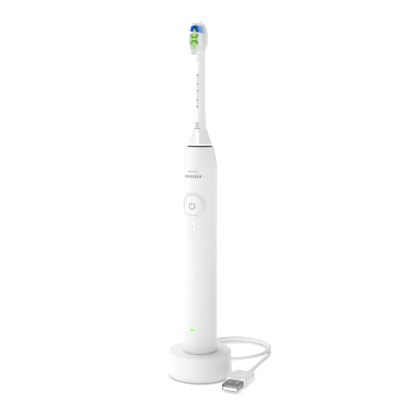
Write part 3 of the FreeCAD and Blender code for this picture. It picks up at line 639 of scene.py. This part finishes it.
# ---------------------------------------------------------------- brush neck and head plate
# Height, half width, half depth and set-back of the middle, in millimetres, from the foot to the tip.
NECK_SECTIONS = [
    (175.2, 9.0, 9.0, 0.0), (176.7, 8.4, 8.4, 0.0), (178.9, 7.5, 7.5, 0.0), (181.8, 6.45, 6.45, 0.0),
    (184.8, 5.6, 5.6, 0.0), (187.7, 5.02, 5.02, 0.0), (190.6, 4.7, 4.7, 0.0), (194.0, 4.52, 4.52, 0.0),
    (200.0, 4.45, 4.45, 0.0), (208.0, 4.3, 4.3, 0.0), (217.0, 4.0, 4.0, 0.1), (224.0, 3.8, 3.8, 0.2),
    (231.0, 3.75, 3.7, 0.3), (236.5, 3.8, 3.4, 0.6), (240.0, 3.85, 2.95, 1.0), (243.0, 4.75, 2.7, 1.3),
    (246.0, 5.75, 2.6, 1.5), (248.5, 6.2, 2.6, 1.5), (251.0, 6.3, 2.6, 1.5), (254.0, 6.05, 2.6, 1.5),
    (256.5, 5.55, 2.6, 1.5), (258.8, 4.8, 2.5, 1.5), (260.8, 3.9, 2.3, 1.5), (262.6, 2.65, 1.8, 1.4),
    (263.8, 1.5, 1.2, 1.2), (264.3, 0.7, 0.6, 1.1),
]


def between(values, heights, height):
    """A smooth (Catmull-Rom) value at a height between the listed ones."""
    index = max(k for k in range(len(heights) - 1) if heights[k] <= height)
    low, high = heights[index], heights[index + 1]
    share = (height - low) / (high - low)
    first = values[max(index - 1, 0)]
    last = values[min(index + 2, len(values) - 1)]
    start, end = values[index], values[index + 1]
    slope_in = (end - first) / 2 if index > 0 else end - start
    slope_out = (last - start) / 2 if index + 2 < len(values) else end - start
    square, cube = share ** 2, share ** 3
    return (start * (2 * cube - 3 * square + 1) + slope_in * (cube - 2 * square + share)
            + end * (3 * square - 2 * cube) + slope_out * (cube - square))


NECK_HEIGHTS = [section[0] for section in NECK_SECTIONS]


def neck_section(height):
    """Half width, half depth and set-back, in millimetres, at a height in millimetres."""
    return [between([section[k] for section in NECK_SECTIONS], NECK_HEIGHTS, height) for k in (1, 2, 3)]


def soft_floor(value, limit, softness):
    """The larger of two numbers, with a rounded corner between them."""
    gap = (value - limit) / softness
    clear_of_corner = 20
    if gap > clear_of_corner:
        return value
    return limit + softness * math.log1p(math.exp(gap))


# The neck's front turns into the flat plate between these heights, in millimetres.
PLATE_START = 235.5
PLATE_FULL = 240.0
PLATE_EDGE_SOFTNESS = 0.12


def neck_point(height, angle):
    """The point on the neck's skin at a height in millimetres and an angle about its middle."""
    half_width, half_depth, back = neck_section(height)
    x = half_width * math.cos(angle)
    y = back + half_depth * math.sin(angle)
    flat = min(max((height - PLATE_START) / (PLATE_FULL - PLATE_START), 0.0), 1.0)
    if flat > 0:
        y += (soft_floor(y, PLATE_FACE_Y / MM, PLATE_EDGE_SOFTNESS) - y) * flat
    return (x * MM, y * MM, height * MM)


def on_neck(across, height, proud):
    """The point on the front of the neck at that place, standing proud of its surface."""
    half_width, half_depth, back = neck_section(height / MM)
    depth = half_depth * MM * math.sqrt(1 - (across / (half_width * MM)) ** 2)
    return (across, back * MM - depth - proud, height)


def make_neck():
    """A shell from the roof of its bore, down the bore, out to the foot and up to the tip."""
    around = 72
    angles = [2 * math.pi * k / around for k in range(around)]
    insert_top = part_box("coupling_insert")[1].z / MM + 1.0
    bottom = NECK_HEIGHTS[0]
    bore_radius, mouth_radius = 3.5, 7.0
    rings = []
    for radius, height in ((bore_radius, insert_top), (bore_radius, bottom + 7),
                           (mouth_radius, bottom + 0.02)):
        rings.append([(radius * math.cos(a) * MM, radius * math.sin(a) * MM, height * MM) for a in angles])
    steps = 110
    crowding = 0.06
    top = NECK_HEIGHTS[-1]
    for step in range(steps + 1):
        share = step / steps
        height = bottom + (top - bottom) * (share + crowding * math.sin(math.pi * share) * share)
        rings.append([neck_point(height, a) for a in angles])
    points, faces = joined_rings(rings, True, True)
    neck = add_mesh("neck_shell", points, faces, "brush_head", "neck_white")
    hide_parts("brush_neck")


def make_neck_marks():
    """A vertical row of plain dots and dashes, and a small ring over two bars."""
    dash, dot, gap = 2.2, 0.7, 0.95
    dash_width, line_width = 1.3 * MM, 0.45 * MM
    row = []
    height = 226.0
    for length in (dash, dot, dot, dash, dot, dash, dot, dot, dash, dot, dash):
        row.append((line((0, height * MM), (0, (height - length) * MM), 3), dash_width))
        height -= length + gap
    printed("neck_dashes", row, "brush_head", "neck_white", PRINT_PALE, on_neck)
    ring = [(arc(0, 189.7 * MM, 0.95 * MM, 0, 360), line_width)]
    bars = [(line((-half * MM, up * MM), (half * MM, up * MM), 8), line_width)
            for half, up in ((1.4, 187.6), (2.2, 186.3))]
    printed("neck_mark", ring + bars, "brush_head", "neck_white", PRINT_GREY, on_neck)


make_neck()
make_neck_marks()


# ---------------------------------------------------------------- bristles
# All in millimetres. Outlines are (across, height) corners at the tips of the tufts.
FILAMENT_RADIUS = 0.145
FILAMENT_PITCH = 0.3
FILAMENT_SIDES = 6
GRID_SHAKE, END_SHAKE, UNEVEN_TIPS = 0.03, 0.04, 0.12
TUFT_TIP = -TUFT_TIP_Y / MM
draw = random.Random(7)


def inside(outline, x, z):
    """Whether a point is within a closed outline of (across, height) corners."""
    found = False
    for (x1, z1), (x2, z2) in zip(outline, outline[1:] + outline[:1]):
        if (z1 > z) != (z2 > z) and x < x1 + (x2 - x1) * (z - z1) / (z2 - z1):
            found = not found
    return found


def mirrored(outline):
    return [(-across, height) for across, height in outline]


def filament(points, faces, root_place, tip_place, tip):
    """One rounded filament from inside the plate to its tip; places are (across, height)."""
    base = len(points)
    sunk = 0.5
    root = PLATE_FACE_Y / MM + sunk
    # Shares of the length and of the full radius.
    rows = [(0.0, 1.0), (0.55, 1.0), (0.965, 0.95), (0.992, 0.68), (1.0, 0.2)]
    for share, width in rows:
        y = root - (root + tip) * share
        bend = share * share
        x = root_place[0] + (tip_place[0] - root_place[0]) * bend
        z = root_place[1] + (tip_place[1] - root_place[1]) * bend
        for side in range(FILAMENT_SIDES):
            angle = 2 * math.pi * side / FILAMENT_SIDES
            points.append(((x + FILAMENT_RADIUS * width * math.cos(angle)) * MM, y * MM,
                           (z + FILAMENT_RADIUS * width * math.sin(angle)) * MM))
    for row in range(len(rows) - 1):
        for side in range(FILAMENT_SIDES):
            after = (side + 1) % FILAMENT_SIDES
            low, high = base + row * FILAMENT_SIDES, base + (row + 1) * FILAMENT_SIDES
            faces.append((low + side, high + side, high + after, low + after))
    end = base + (len(rows) - 1) * FILAMENT_SIDES
    faces.append(tuple(end + side for side in range(FILAMENT_SIDES)))


def upright(across, height):
    """The root rule of a tuft that stands straight out of the plate."""
    return across, height


def bundle(points, faces, outline, tip, rooted):
    """Fills an outline at the tips with filaments on a slightly shaken honeycomb grid.
    rooted gives the place at the plate of the filament that ends at a place."""
    xs = [x for x, _ in outline]
    zs = [z for _, z in outline]
    row_gap = FILAMENT_PITCH * math.sqrt(3) / 2
    rows = int((max(zs) - min(zs)) / row_gap) + 2
    columns = int((max(xs) - min(xs)) / FILAMENT_PITCH) + 2
    for row in range(rows):
        for column in range(columns):
            x = min(xs) + (column + 0.5 * (row % 2)) * FILAMENT_PITCH + draw.uniform(-GRID_SHAKE, GRID_SHAKE)
            z = min(zs) + row * row_gap + draw.uniform(-GRID_SHAKE, GRID_SHAKE)
            if inside(outline, x, z):
                ends = (x + draw.uniform(-END_SHAKE, END_SHAKE), z + draw.uniform(-END_SHAKE, END_SHAKE))
                filament(points, faces, rooted(x, z), ends, tip - draw.uniform(0, UNEVEN_TIPS))


def make_tufts(name, outlines, node, slot, material=None):
    """One piece for all the tufts of a colour: (outline, tip, root rule) for each."""
    points = []
    faces = []
    for outline, tip, rooted in outlines:
        bundle(points, faces, outline, tip, rooted)
    tufts = add_mesh(name, points, faces, "brush_head", slot, material, math.radians(60))
    if node:
        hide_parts(node)


# The middle, half width and half height of the green field.
FIELD_HEIGHT = 250.1
FIELD_WIDE, FIELD_TALL = 2.9, 3.8
# The top of the blue roof, and how far out its roots are there and how much more per millimetre down.
ROOF_TOP = 260.0
ROOT_SHARE, ROOT_SPREAD = 0.2, 0.08
# Below this height the white tufts are rooted higher than they end, by this share of the distance.
FLAT_START = 242.5
CHIN_LEAN = 0.6


def facet(corners):
    """A tuft of the green field: corners as shares of the field's half width and half height."""
    return [(FIELD_WIDE * across, FIELD_HEIGHT + FIELD_TALL * up) for across, up in corners]


def drawn_in(across, height):
    """The blue tufts fan out from roots that follow the plate's outline."""
    return across * (ROOT_SHARE + ROOT_SPREAD * (ROOF_TOP - height)), height


def drawn_up(across, height):
    """The lowest white tufts lean down from roots at the start of the plate's flat face."""
    return across, height + CHIN_LEAN * max(FLAT_START - height, 0.0)


def make_bristles():
    """The tufts by colour. Outlines off the middle are drawn on the right and mirrored."""
    side = [(1.0, 0.5), (0.93, 0.55), (0.36, 0.1), (0.36, -0.1), (0.93, -0.55), (1.0, -0.5)]
    end = [(0.68, 0.84), (0.6, 1.0), (-0.6, 1.0), (-0.68, 0.84), (-0.1, 0.34), (0.1, 0.34)]
    green = [(facet(side), TUFT_TIP, upright), (mirrored(facet(side)), TUFT_TIP, upright),
             (facet(end), TUFT_TIP, upright),
             (facet([(across, -up) for across, up in end]), TUFT_TIP, upright),
             ([(-1.5, 254.9), (1.5, 254.9), (0.0, 257.6)], TUFT_TIP - 0.3, upright),
             ([(-1.7, 245.6), (0.0, 242.5), (1.7, 245.6)], TUFT_TIP - 0.3, upright)]
    make_tufts("green_bristles", green, "green_tufts", "bristle_green")
    groove = facet([(0.9, 0.6), (0.7, 0.8), (0.12, 0.31), (0.2, 0.17), (0.36, 0.13)])
    grooves = []
    for outline in (groove, [(across, 2 * FIELD_HEIGHT - height) for across, height in groove]):
        grooves += [(outline, TUFT_TIP - 0.6, upright), (mirrored(outline), TUFT_TIP - 0.6, upright)]
    # The groove tufts wear the dark green of painted shade.
    make_tufts("green_grooves", grooves, None, "bristle_green", SHADED_GREEN)

    rafter = [(0.1, 258.0), (0.1, 259.7), (0.7, 259.7), (2.7, 255.2), (1.8, 255.2)]
    eave = [(0.95, 259.7), (2.7, 259.7), (3.75, 256.2), (3.5, 255.4), (3.0, 255.4)]
    # The lower inner rafters wear the dark blue of painted shade.
    for name, outline, tip, node, print_and_shade in (("blue_bristles", eave, TUFT_TIP, "blue_tufts", None),
                                          ("blue_rafters", rafter, TUFT_TIP - 1.0, None, SHADED_BLUE)):
        sides = [(outline, tip, drawn_in), (mirrored(outline), tip, drawn_in)]
        make_tufts(name, sides, node, "bristle_blue", print_and_shade)

    flank = [(3.1, 247.0), (4.35, 247.0), (4.35, 252.5), (3.95, 254.6), (3.1, 253.6)]
    chin = [(0.05, 238.6), (1.4, 238.5), (2.4, 239.4), (3.1, 241.2), (3.65, 244.5), (4.3, 246.9),
            (3.0, 246.9), (2.1, 245.8), (1.6, 245.8), (0.05, 242.3)]
    crown = [(-2.2, 260.0), (2.2, 260.0), (1.9, 261.4), (1.2, 261.95), (-1.2, 261.95), (-1.9, 261.4)]
    centre = facet([(0.22, 0.17), (-0.22, 0.17), (-0.22, -0.17), (0.22, -0.17)])
    sill = [(-1.9, 245.75), (1.9, 245.75), (1.9, 246.15), (-1.9, 246.15)]
    lintel = [(-3.2, 254.1), (3.2, 254.1), (3.2, 255.05), (-3.2, 255.05)]
    # The centre tuft wears the pale green with a painted glow.
    make_tufts("centre_bristles", [(centre, TUFT_TIP, upright)], None, "bristle_green", GLOWING_PALE_GREEN)
    white = [(crown, TUFT_TIP - 0.1, upright),
             (sill, TUFT_TIP - 0.2, upright), (lintel, TUFT_TIP - 0.2, upright)]
    for outline, rooted in ((flank, upright), (chin, drawn_up)):
        white += [(outline, TUFT_TIP, rooted), (mirrored(outline), TUFT_TIP, rooted)]
    make_tufts("white_bristles", white, "white_tufts", "bristle_white")


make_bristles()


# ---------------------------------------------------------------- studio
STUDIO_REACH = 9.0
WORLD_LIGHT = 0.65
FLOOR_GLOW = 0.5
FLOOR_GLOW_AT_PUCK = 0.1
CARD_ACROSS = 0.165
CARD_FOOT_GLOW = 0.35


def area_light(name, place, size, watts, aim):
    """A soft light; its place and the point it aims at are as seen from the camera."""
    data = bpy.data.lights.new(name, "AREA")
    data.shape = "RECTANGLE"
    data.size, data.size_y = size
    data.energy = watts
    light = bpy.data.objects.new(name, data)
    bpy.context.scene.collection.objects.link(light)
    light.location = studio(*place)
    towards = studio(*aim) - light.location
    light.rotation_mode = "QUATERNION"
    light.rotation_quaternion = towards.to_track_quat("-Z", "Y")
    return light


def plane(name, corners, material):
    """One flat face that belongs to the set, not to the object."""
    mesh = bpy.data.meshes.new(name)
    mesh.from_pydata([tuple(corner) for corner in corners], [], [(0, 1, 2, 3)])
    mesh.materials.append(material)
    made = bpy.data.objects.new(name, mesh)
    bpy.context.scene.collection.objects.link(made)
    return made


def seen_only(thing):
    """The camera sees it, and it gives the object no light."""
    thing.visible_diffuse = False
    thing.visible_glossy = False
    thing.visible_transmission = False
    thing.visible_shadow = False


def make_backdrop():
    """A plain white dome round the whole set."""
    material, _ = shader("backdrop_white", (1, 1, 1), 1.0, Emission_Color=(1, 1, 1, 1),
                         Emission_Strength=1.0)
    sink = 0.02
    sides = 32
    tiers, tier_rise = 9, 11.2
    rings = []
    for tier in range(tiers):
        up = math.radians(tier * tier_rise)
        radius = STUDIO_REACH * math.cos(up)
        height = STUDIO_REACH * math.sin(up) - sink
        turns = [2 * math.pi * k / sides for k in range(sides)]
        rings.append([(radius * math.cos(turn), radius * math.sin(turn), height) for turn in turns])
    points, faces = joined_rings(rings, False, True)
    mesh = bpy.data.meshes.new("backdrop")
    mesh.from_pydata(points, [], faces)
    mesh.materials.append(material)
    dome = bpy.data.objects.new("backdrop", mesh)
    bpy.context.scene.collection.objects.link(dome)
    seen_only(dome)


def make_floor():
    """A white floor that glows a little, less under the puck, so that it has a contact shadow, and more
    along the foot of the dark card, so that the card's own shadow doesn't show."""
    material, principled = shader("floor_white", (0.85, 0.85, 0.85), 0.9, Emission_Color=(1, 1, 1, 1),
                                  Specular_IOR_Level=0.1)
    place = add_node(material, "ShaderNodeTexCoord")
    radius = add_node(material, "ShaderNodeVectorMath", operation="LENGTH")
    glow = add_node(material, "ShaderNodeMapRange", interpolation_type="SMOOTHSTEP")
    puck_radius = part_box("charger_housing")[1].x
    shadow_reach = 5.0 * MM
    glow.inputs["From Min"].default_value = puck_radius
    glow.inputs["From Max"].default_value = puck_radius + shadow_reach
    glow.inputs["To Min"].default_value = FLOOR_GLOW_AT_PUCK
    glow.inputs["To Max"].default_value = FLOOR_GLOW
    link(material, place.outputs["Object"], radius.inputs[0])
    link(material, radius.outputs["Value"], glow.inputs["Value"])
    across = add_node(material, "ShaderNodeVectorMath", operation="DOT_PRODUCT")
    across.inputs[1].default_value = studio(1, 0, 0)
    link(material, place.outputs["Object"], across.inputs[0])
    total = glow.outputs["Result"]
    # The extra glow rises towards the card and dies away behind it.
    for start, end, amount in ((CARD_ACROSS - 0.05, CARD_ACROSS, CARD_FOOT_GLOW),
                               (CARD_ACROSS + 0.04, CARD_ACROSS + 0.12, -CARD_FOOT_GLOW)):
        step = add_node(material, "ShaderNodeMapRange", interpolation_type="SMOOTHSTEP")
        step.inputs["From Min"].default_value = start
        step.inputs["From Max"].default_value = end
        step.inputs["To Min"].default_value = 0.0
        step.inputs["To Max"].default_value = amount
        link(material, across.outputs["Value"], step.inputs["Value"])
        both = add_node(material, "ShaderNodeMath", operation="ADD")
        link(material, total, both.inputs[0])
        link(material, step.outputs["Result"], both.inputs[1])
        total = both.outputs["Value"]
    link(material, total, principled.inputs["Emission Strength"])
    corners = [(across * STUDIO_REACH, away * STUDIO_REACH, 0)
               for across, away in ((-1, -1), (1, -1), (1, 1), (-1, 1))]
    plane("floor", corners, material)


def make_dark_card():
    """A low black card to the right, out of view, that shades that side of the puck and the plug."""
    material, _ = shader("card_black", (0.03, 0.03, 0.03), 0.9)
    near, far, top = -0.2, 0.1, 0.045
    corners = [studio(CARD_ACROSS, away, up) for away, up in ((near, 0), (far, 0), (far, top), (near, top))]
    card = plane("dark_card", corners, material)
    card.visible_camera = False


def make_studio():
    """The set, the even light of the world and the four lamps; gloss and streak only make highlights."""
    make_floor()
    make_backdrop()
    make_dark_card()
    world = bpy.data.worlds.new("studio")
    world.use_nodes = True
    background = world.node_tree.nodes["Background"]
    background.inputs["Color"].default_value = (1, 1, 1, 1)
    background.inputs["Strength"].default_value = WORLD_LIGHT
    bpy.context.scene.world = world
    area_light("key", (-0.85, -0.1, 0.18), (0.4, 0.6), 1.4, (0, 0, 0.06))
    area_light("overhead", (-0.2, 0.25, 1.1), (0.5, 0.5), 4.4, (0, 0, 0))
    gloss = area_light("gloss", (-0.62, -0.45, 0.75), (0.75, 1.6), 4.4, (0, 0, 0.2))
    streak = area_light("streak", (-0.28, -0.59, 0.93), (0.3, 0.7), 2.6, (0, 0, 0.18))
    for light in (gloss, streak):
        light.visible_diffuse = False
    bpy.context.scene.view_settings.view_transform = "Standard"


make_studio()
